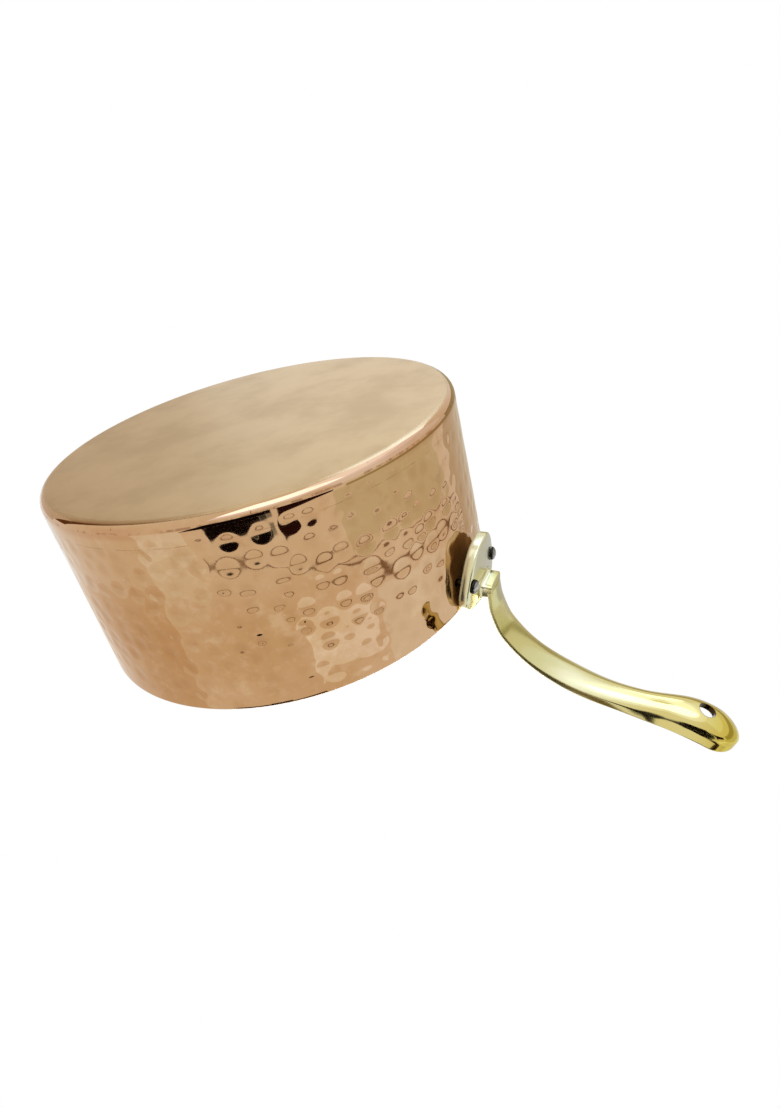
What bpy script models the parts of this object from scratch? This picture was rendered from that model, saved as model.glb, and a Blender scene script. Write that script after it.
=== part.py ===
"""Copper saucepan with a riveted brass handle.

The pan stands upright on z = 0 with its axis on Z, and the handle points along +X.
Lengths are in metres.
"""

import math

import bmesh
import bpy
from mathutils import Matrix, Vector

# Pan
RIM_RADIUS = 0.1030
WALL_FLARE = 0.0030
PAN_HEIGHT = 0.0900
FOOT_FILLET = 0.0050
COPPER_WALL = 0.0018
LINING_WALL = 0.0006
LIP_ROUND = 0.0005
SCRIBE_HEIGHT = 0.0100
SCRIBE_WIDTH = 0.0009
SCRIBE_DEPTH = 0.0003

# Fits between pieces
SEAT_GAP = 0.0003
CUT_OVERRUN = 0.0040

# Handle plate, a rounded shield bent round the wall, with its narrow end towards the base
PLATE_HALF_WIDTH = 0.0172
PLATE_LENGTH = 0.0311
PLATE_RISE = 0.0015
PLATE_THICKNESS = 0.0048
PLATE_EDGE_ROUND = 0.0007
PLATE_OFF_WALL = math.radians(8.2)
PLATE_SQUARENESS = 3.2
PLATE_SPREAD_SHARE = 0.37
PLATE_FACE_SHARES = (0.03, 0.25, 0.5, 0.75)

# Rivets
RIVET_SPACING = 0.0268
RIVET_DROP = 0.0120
RIVET_SHANK_RADIUS = 0.0020
RIVET_HEAD_RADIUS = 0.0034
RIVET_HEAD_HEIGHT = 0.0022
FORMED_HEAD_RADIUS = 0.0038
FORMED_HEAD_HEIGHT = 0.0018

# Neck between plate and grip
NECK_DROP = 0.0041
NECK_REACH = 0.0058
NECK_HALF_WIDTH = 0.0074
NECK_HALF_HEIGHT = 0.0040
NECK_ROOT_FLARE = 0.0014
NECK_ROOT_LENGTH = 0.0020
NECK_SQUARENESS = 5.0

# Grip: how far its edge line runs out from the plate's front and up from the rim
GRIP_REACH = 0.1078
GRIP_RISE = 0.0748
GRIP_HALF_WIDTH = 0.0090
GRIP_EDGE_HEIGHT = 0.0038
GRIP_CROWN = 0.0030
GRIP_WALL = 0.0030
GRIP_LAND = 0.0014
GRIP_ROOT_SWELL = 0.0012
TIP_LENGTH = 0.0137
HANG_HOLE_RADIUS = 0.0038
HANG_HOLE_FROM_TIP = 0.0190

# Facet counts
PAN_STEPS = 96
RIVET_STEPS = 20
ARC_STEPS = 5
OUTLINE_POINTS = 48
NECK_POINTS = 28
GRIP_STATIONS = 36
GRIP_ARC_POINTS = 9
HOLE_STEPS = 24

PAN_NAME = "copper_saucepan"
MERGE_DISTANCE = 0.00001


def clear_scene():
    for old in list(bpy.data.objects):
        bpy.data.objects.remove(old)


def make_collection(name):
    collection = bpy.data.collections.new(name)
    bpy.context.scene.collection.children.link(collection)
    return collection


def make_material(name, colour, roughness):
    """A metal with a plain colour."""
    material = bpy.data.materials.new(name)
    material.use_nodes = True
    shader = material.node_tree.nodes["Principled BSDF"]
    shader.inputs["Base Color"].default_value = (*colour, 1.0)
    shader.inputs["Metallic"].default_value = 1.0
    shader.inputs["Roughness"].default_value = roughness
    return material


def add_object(name, mesh, collection, material=None):
    made = bpy.data.objects.new(name, mesh)
    collection.objects.link(made)
    if material:
        mesh.materials.append(material)
    return made


def as_cutter(made):
    made.hide_render = True
    made.display_type = "WIRE"
    return made


def smooth(mesh):
    mesh.shade_smooth()
    mesh.set_sharp_from_angle(angle=math.radians(35))


def boolean(target, other, operation):
    step = target.modifiers.new(operation.lower() + "_" + other.name, "BOOLEAN")
    step.operation = operation
    step.object = other
    step.solver = "EXACT"


def arc(centre_x, centre_z, radius, start, end, steps=ARC_STEPS):
    """Points on an arc, with both ends; the angles are in radians."""
    points = []
    for index in range(steps + 1):
        angle = start + (end - start) * index / steps
        points.append((centre_x + radius * math.cos(angle), centre_z + radius * math.sin(angle)))
    return points


def turned(name, profile, steps, collection, material=None):
    """A solid of revolution about Z, from a profile that starts and ends on the axis."""
    mesh = bpy.data.meshes.new(name)
    mesh.from_pydata(
        [(x, 0, z) for x, z in profile],
        [(index, index + 1) for index in range(len(profile) - 1)],
        [],
    )
    made = add_object(name, mesh, collection, material)
    screw = made.modifiers.new("turn", "SCREW")
    screw.steps = steps
    screw.render_steps = steps
    screw.use_merge_vertices = True
    screw.merge_threshold = MERGE_DISTANCE
    screw.use_smooth_shade = True
    return made


def loft(name, sections, collection, material=None):
    """A closed solid through equal rings of points, each ring anticlockwise seen from the end."""
    mesh = bpy.data.meshes.new(name)
    shape = bmesh.new()
    rings = [[shape.verts.new(point) for point in section] for section in sections]
    count = len(rings[0])
    for ring, following in zip(rings, rings[1:]):
        for index in range(count):
            beside = (index + 1) % count
            shape.faces.new((ring[index], ring[beside], following[beside], following[index]))
    shape.faces.new(list(reversed(rings[0])))
    shape.faces.new(rings[-1])
    bmesh.ops.recalc_face_normals(shape, faces=shape.faces)
    bmesh.ops.triangulate(shape, faces=shape.faces)
    shape.to_mesh(mesh)
    shape.free()
    smooth(mesh)
    return add_object(name, mesh, collection, material)


def blend(table, share):
    """A smooth value between the (share, value) pairs of a hand-chosen table."""
    shares = [pair[0] for pair in table]
    values = [pair[1] for pair in table]
    last = len(table) - 1
    slot = min(max(sum(1 for mark in shares if mark <= share) - 1, 0), last - 1)
    before, after = max(slot - 1, 0), min(slot + 2, last)
    width = shares[slot + 1] - shares[slot]
    rise_in = (values[slot + 1] - values[before]) / (shares[slot + 1] - shares[before])
    rise_out = (values[after] - values[slot]) / (shares[after] - shares[slot])
    along = (share - shares[slot]) / width
    return (
        values[slot] * (2 * along**3 - 3 * along**2 + 1)
        + values[slot + 1] * (3 * along**2 - 2 * along**3)
        + rise_in * width * (along**3 - 2 * along**2 + along)
        + rise_out * width * (along**3 - along**2)
    )


# Pan wall

FOOT_RADIUS = RIM_RADIUS - WALL_FLARE
WALL_TILT = math.atan2(WALL_FLARE, PAN_HEIGHT)
PLATE_LEAN = PLATE_OFF_WALL - WALL_TILT


def wall_radius(height, inset=0.0):
    """Radius of the pan's wall at a height, on a skin that lies inset below its outside."""
    return FOOT_RADIUS + height * math.tan(WALL_TILT) - inset / math.cos(WALL_TILT)


def skin_corner(inset):
    """The rounded corner between floor and wall, on a skin that lies inset below the outside."""
    centre_x = FOOT_RADIUS + FOOT_FILLET * (math.tan(WALL_TILT) - 1 / math.cos(WALL_TILT))
    return arc(centre_x, FOOT_FILLET, FOOT_FILLET - inset, -math.pi / 2, -WALL_TILT)


def shell_profile(outer_inset, inner_inset, scribed):
    """Section of a pan-shaped shell between two skins, from its inner floor round to its outer."""
    lip_z = PAN_HEIGHT - LIP_ROUND
    inner_lip = wall_radius(lip_z, inner_inset) + LIP_ROUND
    outer_lip = wall_radius(lip_z, outer_inset) - LIP_ROUND
    profile = [(0, inner_inset)]
    profile += skin_corner(inner_inset)
    half_lip = min(LIP_ROUND, (outer_lip - inner_lip) / 2 + LIP_ROUND)
    profile += arc(inner_lip, lip_z, half_lip, math.pi, math.pi / 2, 2)
    profile += arc(outer_lip, lip_z, half_lip, math.pi / 2, 0, 2)
    if scribed:
        for side, depth in ((1, 0), (0, SCRIBE_DEPTH), (-1, 0)):
            height = SCRIBE_HEIGHT + side * SCRIBE_WIDTH / 2
            profile.append((wall_radius(height, depth), height))
    profile += reversed(skin_corner(outer_inset))
    profile.append((0, outer_inset))
    return profile


# Where the handle stands: u runs outwards, v along the pan's edge, w up towards the rim

def plate_place():
    """Matrix from the plate's own axes to the pan: x across, y up the plate, z outwards."""
    foot_x = wall_radius(PAN_HEIGHT) + SEAT_GAP
    across = Vector((0, 1, 0))
    upward = Vector((-math.sin(PLATE_LEAN), 0, math.cos(PLATE_LEAN)))
    outward = across.cross(upward)
    turn = Matrix((across, upward, outward)).transposed().to_4x4()
    return Matrix.Translation((foot_x, 0, PAN_HEIGHT)) @ turn


def bent(across, up, out):
    """A point given on the flat plate, after the plate is bent round the wall."""
    radius = wall_radius(PAN_HEIGHT) + SEAT_GAP
    angle = across / radius
    return Vector(((radius + out) * math.sin(angle), up, (radius + out) * math.cos(angle) - radius))


def plate_ring(share, inset, out):
    """The bent plate's outline at a height over its back, shrunk to a share and drawn in."""
    ring = []
    power = 2 / PLATE_SQUARENESS
    for index in range(OUTLINE_POINTS):
        angle = math.tau * index / OUTLINE_POINTS
        side = math.copysign(abs(math.cos(angle)) ** power, math.cos(angle))
        up = math.copysign(abs(math.sin(angle)) ** power, math.sin(angle))
        spread = 1 + PLATE_SPREAD_SHARE * up * share
        across = (PLATE_HALF_WIDTH - inset) * side * spread * share
        rise = PLATE_RISE - PLATE_LENGTH / 2 + (PLATE_LENGTH / 2 - inset) * up * share
        ring.append(bent(across, rise, out))
    return ring


def make_plate(collection, material):
    """Rings from the middle of the back, round the rounded edge, to the middle of the front."""
    edge = PLATE_EDGE_ROUND
    rings = [plate_ring(share, edge, 0) for share in PLATE_FACE_SHARES]
    for side in (-1, 1):
        for step in range(3):
            turn = math.pi / 4 * (step if side < 0 else 2 - step)
            drawn_in = edge * (1 - math.sin(turn))
            out = edge * (1 - math.cos(turn))
            rings.append(plate_ring(1, drawn_in, out if side < 0 else PLATE_THICKNESS - out))
    rings += [plate_ring(share, edge, PLATE_THICKNESS) for share in reversed(PLATE_FACE_SHARES)]
    place = plate_place()
    placed = [[place @ point for point in ring] for ring in rings]
    return loft("brass_handle", placed, collection, material)


def rounded_block(half_width, half_height, centre):
    """A ring of points square to the plate, round at its corners."""
    ring = []
    for index in range(NECK_POINTS):
        angle = math.tau * index / NECK_POINTS
        power = 2 / NECK_SQUARENESS
        side = math.copysign(abs(math.cos(angle)) ** power, math.cos(angle))
        up = math.copysign(abs(math.sin(angle)) ** power, math.sin(angle))
        ring.append(centre + Vector((half_width * side, half_height * up, 0)))
    return ring


def make_neck(collection):
    """A short square neck that flares into the plate."""
    place = plate_place()
    sections = []
    for step in range(ARC_STEPS + 1):
        angle = math.pi / 2 * step / ARC_STEPS
        flare = NECK_ROOT_FLARE * (1 - math.sin(angle))
        out = NECK_ROOT_LENGTH * (1 - math.cos(angle))
        centre = Vector((0, -NECK_DROP, PLATE_THICKNESS + out))
        sections.append(rounded_block(NECK_HALF_WIDTH + flare, NECK_HALF_HEIGHT + flare, centre))
    root = Vector((0, -NECK_DROP, PLATE_THICKNESS / 2))
    wide = rounded_block(
        NECK_HALF_WIDTH + NECK_ROOT_FLARE, NECK_HALF_HEIGHT + NECK_ROOT_FLARE, root
    )
    front = PLATE_THICKNESS + NECK_REACH
    edge = PLATE_EDGE_ROUND
    for inset, out in ((0, front - edge), (edge / 3, front - edge / 3), (edge, front)):
        centre = Vector((0, -NECK_DROP, out))
        sections.append(rounded_block(NECK_HALF_WIDTH - inset, NECK_HALF_HEIGHT - inset, centre))
    placed = [[place @ point for point in section] for section in [wide] + sections]
    return as_cutter(loft("neck", placed, collection))


# Grip: each table gives (share of the grip's length, share of the named size)

EDGE_OUT_SHARES = [
    (0.0, 0.0), (0.08, 0.005), (0.17, 0.043), (0.33, 0.172), (0.50, 0.380),
    (0.67, 0.612), (0.83, 0.826), (1.0, 1.0),
]
EDGE_UP_SHARES = [
    (0.0, -0.042), (0.08, 0.114), (0.17, 0.295), (0.33, 0.518), (0.50, 0.695),
    (0.67, 0.798), (0.83, 0.855), (1.0, 1.0),
]
WIDTH_SHARES = [
    (0.0, 0.84), (0.15, 0.95), (0.30, 0.946), (0.45, 0.93), (0.60, 0.80),
    (0.72, 0.866), (0.84, 1.108), (1.0, 1.087),
]
CROWN_SHARES = [(0.0, 0.33), (0.3, 0.69), (0.6, 1.33), (0.8, 2.33), (1.0, 1.89)]
EDGE_SHARES = [(0.0, 0.54), (0.25, 0.55), (0.5, 0.98), (0.75, 0.86), (1.0, 0.78)]
SPREAD_SHARES = [(0.0, 0.0), (0.5, 0.0), (0.65, 0.3), (0.8, 0.9), (1.0, 1.0)]
HOLLOW_SHARES = [
    (0.0, 0.0), (0.15, 0.0), (0.30, 0.35), (0.50, 0.9), (0.65, 1.0), (0.85, 1.0), (1.0, 1.0),
]
BELLY_SHARES = [(0.0, 2.0), (0.55, 2.0), (0.75, 1.5), (0.9, 1.1), (1.0, 1.0)]


def edge_point(share):
    """The grip's edge line, in the pan's XZ plane."""
    front = plate_place() @ Vector((0, 0, PLATE_THICKNESS + NECK_REACH))
    return Vector((
        front.x + GRIP_REACH * blend(EDGE_OUT_SHARES, share),
        PAN_HEIGHT + GRIP_RISE * blend(EDGE_UP_SHARES, share),
    ))


def edge_runs():
    """Shares along the edge line, each with the length that is left from there to the tip."""
    steps = GRIP_STATIONS * 4
    points = [edge_point(index / steps) for index in range(steps + 1)]
    left = 0.0
    runs = [(1.0, left)]
    for index in range(steps, 0, -1):
        left += (points[index] - points[index - 1]).length
        runs.append(((index - 1) / steps, left))
    return runs


def share_before_tip(runs, distance):
    """The share at which this much of the edge line is left."""
    for (high, short), (low, far) in zip(runs, runs[1:]):
        if far >= distance:
            return high + (low - high) * (distance - short) / (far - short)
    return 0.0


def grip_frame(share):
    """A point of the edge line, and the direction up out of the grip's top there."""
    step = 1 / (GRIP_STATIONS * 4)
    low, high = max(share - step, 0), min(share + step, 1)
    along = (edge_point(high) - edge_point(low)).normalized()
    return edge_point(share), Vector((-along.y, along.x))


def grip_section(share, left):
    """A ring of points: the crowned underside, the sides that spread, and the hollowed top."""
    origin, up = grip_frame(share)
    beyond = max(1 - left / TIP_LENGTH, 0)
    tip = math.sqrt(1 - beyond**2)
    before_end = max(left - GRIP_LAND, 0) / (TIP_LENGTH - GRIP_LAND)
    hollow_end = math.sqrt(1 - max(1 - before_end, 0) ** 2)
    full = GRIP_HALF_WIDTH * blend(WIDTH_SHARES, share)
    half = full * tip
    crown = GRIP_CROWN * blend(CROWN_SHARES, share) * tip
    edge = GRIP_EDGE_HEIGHT * blend(EDGE_SHARES, share) * (0.5 + 0.5 * tip)
    spread = blend(SPREAD_SHARES, share)
    top = half + edge * spread * tip
    hollow = blend(HOLLOW_SHARES, share)
    depth = max(crown + edge - GRIP_WALL, 0) * hollow_end
    rise = GRIP_ROOT_SWELL * (1 - hollow) - depth * hollow
    hollow_half = max((full + edge * spread - GRIP_LAND) * hollow_end, half / 5)
    belly = blend(BELLY_SHARES, share)
    outline = []
    for index in range(GRIP_ARC_POINTS):
        angle = math.pi * index / (GRIP_ARC_POINTS - 1)
        bulge = abs(math.sin(angle)) ** belly
        outline.append((-half * math.cos(angle), -crown * bulge))
    outline.append((top, edge))
    for index in range(GRIP_ARC_POINTS):
        angle = math.pi * index / (GRIP_ARC_POINTS - 1)
        bowl = abs(math.sin(angle)) ** (1 + max(spread, 0))
        outline.append((hollow_half * math.cos(angle), edge + rise * bowl))
    outline.append((-top, edge))
    return [
        Vector((origin.x + up.x * height, across, origin.y + up.y * height))
        for across, height in outline
    ]


def make_grip(collection):
    runs = edge_runs()
    length = runs[-1][1]
    lefts = [
        length - (length - TIP_LENGTH) * index / GRIP_STATIONS for index in range(GRIP_STATIONS)
    ]
    for step in range(ARC_STEPS * 2):
        angle = math.pi / 2 * step / (ARC_STEPS * 2)
        lefts.append(TIP_LENGTH * (1 - math.sin(angle)))
    sections = [grip_section(share_before_tip(runs, left), left) for left in lefts]
    return as_cutter(loft("grip", sections, collection))


def make_hang_hole(collection):
    origin, up = grip_frame(share_before_tip(edge_runs(), HANG_HOLE_FROM_TIP))
    axis = Vector((up.x, 0, up.y))
    reach = GRIP_CROWN * max(value for _, value in CROWN_SHARES) + CUT_OVERRUN * 2
    return cylinder(
        "hang_hole", HANG_HOLE_RADIUS, Vector((origin.x, 0, origin.y)), axis,
        reach, reach, HOLE_STEPS, collection,
    )


def cylinder(name, radius, centre, axis, before, after, steps, collection):
    """A cutter with its ends before and after its centre along the axis."""
    shape = bmesh.new()
    bmesh.ops.create_cone(
        shape, cap_ends=True, segments=steps, radius1=radius, radius2=radius,
        depth=before + after,
    )
    mesh = bpy.data.meshes.new(name)
    shape.to_mesh(mesh)
    shape.free()
    made = as_cutter(add_object(name, mesh, collection))
    turn = Vector((0, 0, 1)).rotation_difference(axis).to_matrix().to_4x4()
    made.matrix_world = Matrix.Translation(centre + axis * (after - before) / 2) @ turn
    return made


# Rivets

def rivet_place(side):
    """Matrix from a rivet's own axes, with z outwards and its head's seat on z = 0."""
    across = side * RIVET_SPACING / 2
    seat = bent(across, -RIVET_DROP, PLATE_THICKNESS + SEAT_GAP)
    turn = Matrix.Rotation(across / (wall_radius(PAN_HEIGHT) + SEAT_GAP), 4, "Y")
    return plate_place() @ Matrix.Translation(seat) @ turn


def rivet_grip_length():
    """From the outer head's seat to the lining's inner face, on the rivet's axis."""
    lining_face = COPPER_WALL + SEAT_GAP + LINING_WALL
    seat = rivet_place(1).translation
    outward = rivet_place(1).to_3x3() @ Vector((0, 0, 1))
    low, high = 0.0, FOOT_RADIUS / 2
    for _ in range(40):
        middle = (low + high) / 2
        point = seat - outward * middle
        inside = math.hypot(point.x, point.y) < wall_radius(point.z, lining_face)
        low, high = (low, middle) if inside else (middle, high)
    return high


def make_rivet(name, side, collection, cutters, material):
    """A domed head and shank, joined to a head formed against the curved lining."""
    length = rivet_grip_length()
    head = [(0, RIVET_HEAD_HEIGHT)]
    for step in range(1, ARC_STEPS + 1):
        angle = math.pi / 2 * step / ARC_STEPS
        head.append((RIVET_HEAD_RADIUS * math.sin(angle), RIVET_HEAD_HEIGHT * math.cos(angle)))
    head += [(RIVET_SHANK_RADIUS, 0), (RIVET_SHANK_RADIUS, -length - FORMED_HEAD_HEIGHT / 2)]
    head.append((0, -length - FORMED_HEAD_HEIGHT / 2))
    rivet = turned(name, head, RIVET_STEPS, collection, material)
    rivet.matrix_world = rivet_place(side)

    deep = -length - FORMED_HEAD_HEIGHT - SEAT_GAP
    tall = -length + RIVET_HEAD_RADIUS
    button = [(0, tall), (FORMED_HEAD_RADIUS, tall)]
    rim = deep + FORMED_HEAD_HEIGHT / 2
    for step in range(ARC_STEPS + 1):
        angle = math.pi / 2 * step / ARC_STEPS
        button.append((
            FORMED_HEAD_RADIUS * math.cos(angle),
            rim - FORMED_HEAD_HEIGHT / 2 * math.sin(angle),
        ))
    button[-1] = (0, deep)
    formed = as_cutter(turned(name + "_formed_head", button, RIVET_STEPS, cutters))
    formed.matrix_world = rivet_place(side)
    boolean(formed, bpy.data.objects["lining_face_cutter"], "DIFFERENCE")
    boolean(rivet, formed, "UNION")
    return rivet


def make_lining_face_cutter(collection):
    """A ring whose inner face lies one seat gap inside the lining, to cut formed heads against."""
    inset = COPPER_WALL + SEAT_GAP + LINING_WALL + SEAT_GAP
    top = PAN_HEIGHT + CUT_OVERRUN
    outside = max(FOOT_RADIUS, RIM_RADIUS) + CUT_OVERRUN
    ring = [
        (wall_radius(FOOT_FILLET, inset), FOOT_FILLET),
        (wall_radius(top, inset), top),
        (outside, top),
        (outside, FOOT_FILLET),
        (wall_radius(FOOT_FILLET, inset), FOOT_FILLET),
    ]
    return as_cutter(turned("lining_face_cutter", ring, PAN_STEPS, collection))


def build():
    clear_scene()
    parts = make_collection(PAN_NAME)
    cutters = make_collection(PAN_NAME + "_cutters")

    copper = make_material("hammered_copper", (0.72, 0.42, 0.26), 0.18)
    steel = make_material("lining_steel", (0.62, 0.61, 0.59), 0.30)
    brass = make_material("polished_brass", (0.78, 0.66, 0.30), 0.16)
    rivet_steel = make_material("rivet_steel", (0.55, 0.55, 0.55), 0.25)

    body = turned("pan_body", shell_profile(0, COPPER_WALL, True), PAN_STEPS, parts, copper)
    lining_inset = COPPER_WALL + SEAT_GAP
    lining_profile = shell_profile(lining_inset, lining_inset + LINING_WALL, False)
    lining = turned("steel_lining", lining_profile, PAN_STEPS, parts, steel)

    handle = make_plate(parts, brass)
    boolean(handle, make_neck(cutters), "UNION")
    boolean(handle, make_grip(cutters), "UNION")
    boolean(handle, make_hang_hole(cutters), "DIFFERENCE")

    make_lining_face_cutter(cutters)
    for name, side in (("rivet_left", 1), ("rivet_right", -1)):
        place = rivet_place(side)
        outward = place.to_3x3() @ Vector((0, 0, 1))
        hole = cylinder(
            name + "_hole", RIVET_SHANK_RADIUS + SEAT_GAP, place.translation, outward,
            rivet_grip_length() + CUT_OVERRUN, CUT_OVERRUN, RIVET_STEPS, cutters,
        )
        for piece in (body, lining, handle):
            boolean(piece, hole, "DIFFERENCE")
        make_rivet(name, side, parts, cutters, rivet_steel)


build()
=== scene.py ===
# %% [markdown]
# # A hammered copper saucepan
#
# The pan is one sheet of copper, planished with a round-faced hammer, with a cast brass handle
# riveted under its rim and a thin steel lining inside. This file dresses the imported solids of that
# pan: it makes finer surfaces where the solids are plain, and gives every piece its finish.
#
# Lengths are in metres. The pan stands on z = 0 with its axis on Z, and the handle points along +X.

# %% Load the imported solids
import math

import bmesh
import bpy
from mathutils import Matrix, Vector


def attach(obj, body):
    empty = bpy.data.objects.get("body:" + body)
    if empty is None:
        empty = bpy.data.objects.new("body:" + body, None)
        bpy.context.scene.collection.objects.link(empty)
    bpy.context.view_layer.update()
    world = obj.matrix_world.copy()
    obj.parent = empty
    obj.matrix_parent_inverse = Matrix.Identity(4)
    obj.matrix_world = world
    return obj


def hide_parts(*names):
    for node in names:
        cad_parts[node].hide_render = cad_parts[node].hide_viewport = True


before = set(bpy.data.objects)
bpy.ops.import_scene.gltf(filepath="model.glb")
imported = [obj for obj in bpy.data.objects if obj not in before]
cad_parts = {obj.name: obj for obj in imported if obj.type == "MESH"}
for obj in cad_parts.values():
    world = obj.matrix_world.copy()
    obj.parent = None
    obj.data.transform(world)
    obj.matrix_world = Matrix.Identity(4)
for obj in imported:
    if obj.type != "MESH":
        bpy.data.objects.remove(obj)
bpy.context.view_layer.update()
mm = 0.001
scene = bpy.context.scene


def add_object(name, data):
    """A new object in the scene, at the origin."""
    made = bpy.data.objects.new(name, data)
    scene.collection.objects.link(made)
    return made


print("solids:", sorted(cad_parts))

# %% [markdown]
# ## The camera
#
# The photograph was taken from close by, about a hand's length and a half from the pan, so near
# edges look much bigger than far ones. A camera can be placed by eye, or worked out from edges
# whose real shape is known. Here the round rim and base gave the camera's place, its turn and its
# wide lens. It looks up at the underside, so the pan stands on its head in the picture.

# %% Place the camera
CAMERA_PLACE = (0.199192, 0.229972, -0.087892)
CAMERA_RIGHT = (0.894450, -0.401419, 0.197032)
CAMERA_UP = (-0.061978, -0.547657, -0.834404)
CAMERA_BACK = (0.442852, 0.734121, -0.514731)
SENSOR_WIDTH = 36
LENS_LENGTH = 20.1444

lens = bpy.data.cameras.new("camera")
lens.sensor_width = SENSOR_WIDTH
lens.lens = LENS_LENGTH
lens.clip_start = 1 * mm
camera = add_object("camera", lens)
turn = Matrix((CAMERA_RIGHT, CAMERA_UP, CAMERA_BACK)).transposed().to_4x4()
camera.matrix_world = Matrix.Translation(CAMERA_PLACE) @ turn
bpy.context.scene.camera = camera
print("camera is", round(Vector(CAMERA_PLACE).length / mm), "mm from the middle of the base")

# %% [markdown]
# ## Sums that become nodes
#
# Both shaders and geometry trees need arithmetic. Adding and linking each Math node by hand hides
# the formula, so one small class wraps a node's output: a sum written with it adds the nodes.
# Every other node comes from its `node` method, which sets the node's options first, because they
# decide which sockets the node shows.

# %% A wire between nodes
def pick(sockets, key):
    """The socket with this name, or this number, among those that the node shows."""
    shown = [socket for socket in sockets if socket.enabled]
    return shown[key] if isinstance(key, int) else [s for s in shown if s.name == key][0]


class Wire:
    """One output of a node. Python sums with it add Math nodes to its tree."""

    def __init__(self, tree, socket=None):
        self.tree = tree
        self.socket = socket

    def node(self, kind, settings=None, values=None, out=0):
        """Adds a node, and gives a wire from one of its outputs."""
        made = self.tree.nodes.new(kind)
        for name, value in (settings or {}).items():
            setattr(made, name, value)
        for key, value in (values or {}).items():
            socket = pick(made.inputs, key)
            if isinstance(value, Wire):
                self.tree.links.new(value.socket, socket)
            else:
                socket.default_value = value
        return Wire(self.tree, pick(made.outputs, out) if made.outputs else None)

    def out(self, key):
        return Wire(self.tree, pick(self.socket.node.outputs, key))

    def sum(self, kind, operation, values):
        return self.node(kind, {"operation": operation}, dict(enumerate(values)))

    def math(self, operation, *others):
        return self.sum("ShaderNodeMath", operation, (self, *others))

    def vector(self, operation, *others):
        return self.sum("ShaderNodeVectorMath", operation, (self, *others))

    def __add__(self, other):
        return self.math("ADD", other)

    def __radd__(self, other):
        return self.math("ADD", other)

    def __sub__(self, other):
        return self.math("SUBTRACT", other)

    def __rsub__(self, other):
        return self.sum("ShaderNodeMath", "SUBTRACT", (other, self))

    def __mul__(self, other):
        return self.math("MULTIPLY", other)

    def __truediv__(self, other):
        return self.math("DIVIDE", other)

    def __rtruediv__(self, other):
        return self.sum("ShaderNodeMath", "DIVIDE", (other, self))

    def __pow__(self, other):
        return self.math("POWER", other)

    def __gt__(self, other):
        return self.math("GREATER_THAN", other)

    def between(self, low, high, start=0.0, end=1.0):
        """Goes smoothly from start to end while this goes from low to high."""
        return self.node(
            "ShaderNodeMapRange",
            {"interpolation_type": "SMOOTHSTEP"},
            {"Value": self, "From Min": low, "From Max": high, "To Min": start, "To Max": end},
        )

    def colour(self, first, second):
        """A mix of two colours by this as the share of the second."""
        return self.node(
            "ShaderNodeMix",
            {"data_type": "RGBA"},
            {"Factor": self, "A": first, "B": second},
            "Result",
        )

    def noise(self, scale, detail=2.0, roughness=0.5):
        """Soft random values around one half at this place, with bumps 1 / scale metres wide."""
        values = {"Vector": self, "Scale": scale, "Detail": detail, "Roughness": roughness}
        return self.node("ShaderNodeTexNoise", {}, values)

    def split(self):
        """A node that gives this vector's X, Y and Z."""
        return self.node("ShaderNodeSeparateXYZ", {}, {"Vector": self})

    def bump(self, strength, distance):
        """How the surface tilts where this is its height."""
        values = {"Strength": strength, "Distance": distance, "Height": self}
        return self.node("ShaderNodeBump", {}, values)

    def store(self, name, value):
        """This geometry with a number stored on each point, for its material to read."""
        values = {"Geometry": self, "Name": name, "Value": value}
        settings = {"data_type": "FLOAT", "domain": "POINT"}
        return self.node("GeometryNodeStoreNamedAttribute", settings, values)

    def stored(self, name):
        """The number that a geometry tree stored on the points."""
        return self.node("ShaderNodeAttribute", {"attribute_name": name}, out="Fac")


def rgb(red, green, blue):
    """A colour given as screen values from 0 to 255, as the light it stands for."""
    shares = [value / 255 for value in (red, green, blue)]
    light = [s / 12.92 if s <= 0.04045 else ((s + 0.055) / 1.055) ** 2.4 for s in shares]
    return (*light, 1.0)


print("sums with wires make nodes")

# %% [markdown]
# ## Stage and light
#
# Polished metal has hardly any look of its own: it shows what stands around it. In a studio that is
# a white tent with a few cards in it. A white world is the tent. The cards are bent strips around
# the pan that only reflections see, each given by the compass direction and the height at which the
# pan sees it. Dark ones give the dark patch under the base's edge, thin brown ones the fine lines
# that the hammer marks bend into loops, and tinted ones the warm and pale areas. A colour above 1
# shines brighter than the tent and makes a highlight. Three flat cards close to the handle draw the
# dark line along its side.
#
# The camera looks from below the floor, so the floor shows its top only: its back is see-through.

# %% White world and plain colours
scene.view_settings.view_transform = "Standard"
world = bpy.data.worlds.new("white_tent")
world.use_nodes = True
world.node_tree.nodes["Background"].inputs["Color"].default_value = (1, 1, 1, 1)
world.node_tree.nodes["Background"].inputs["Strength"].default_value = 1.0
scene.world = world


def empty_material(name):
    """A material with an output only, a wire to build it from, and the output node."""
    material = bpy.data.materials.new(name)
    material.use_nodes = True
    tree = material.node_tree
    tree.nodes.clear()
    return material, Wire(tree), tree.nodes.new("ShaderNodeOutputMaterial")


def hide_from(made, *kinds):
    """Makes an object unseen by these kinds of rays."""
    for rays in kinds:
        setattr(made, "visible_" + rays, False)


print("world is white, view is", scene.view_settings.view_transform)

# %% Floor with a see-through back
FLOOR_SIZE = 8.0
FLOOR_DROP = 0.4 * mm

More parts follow.
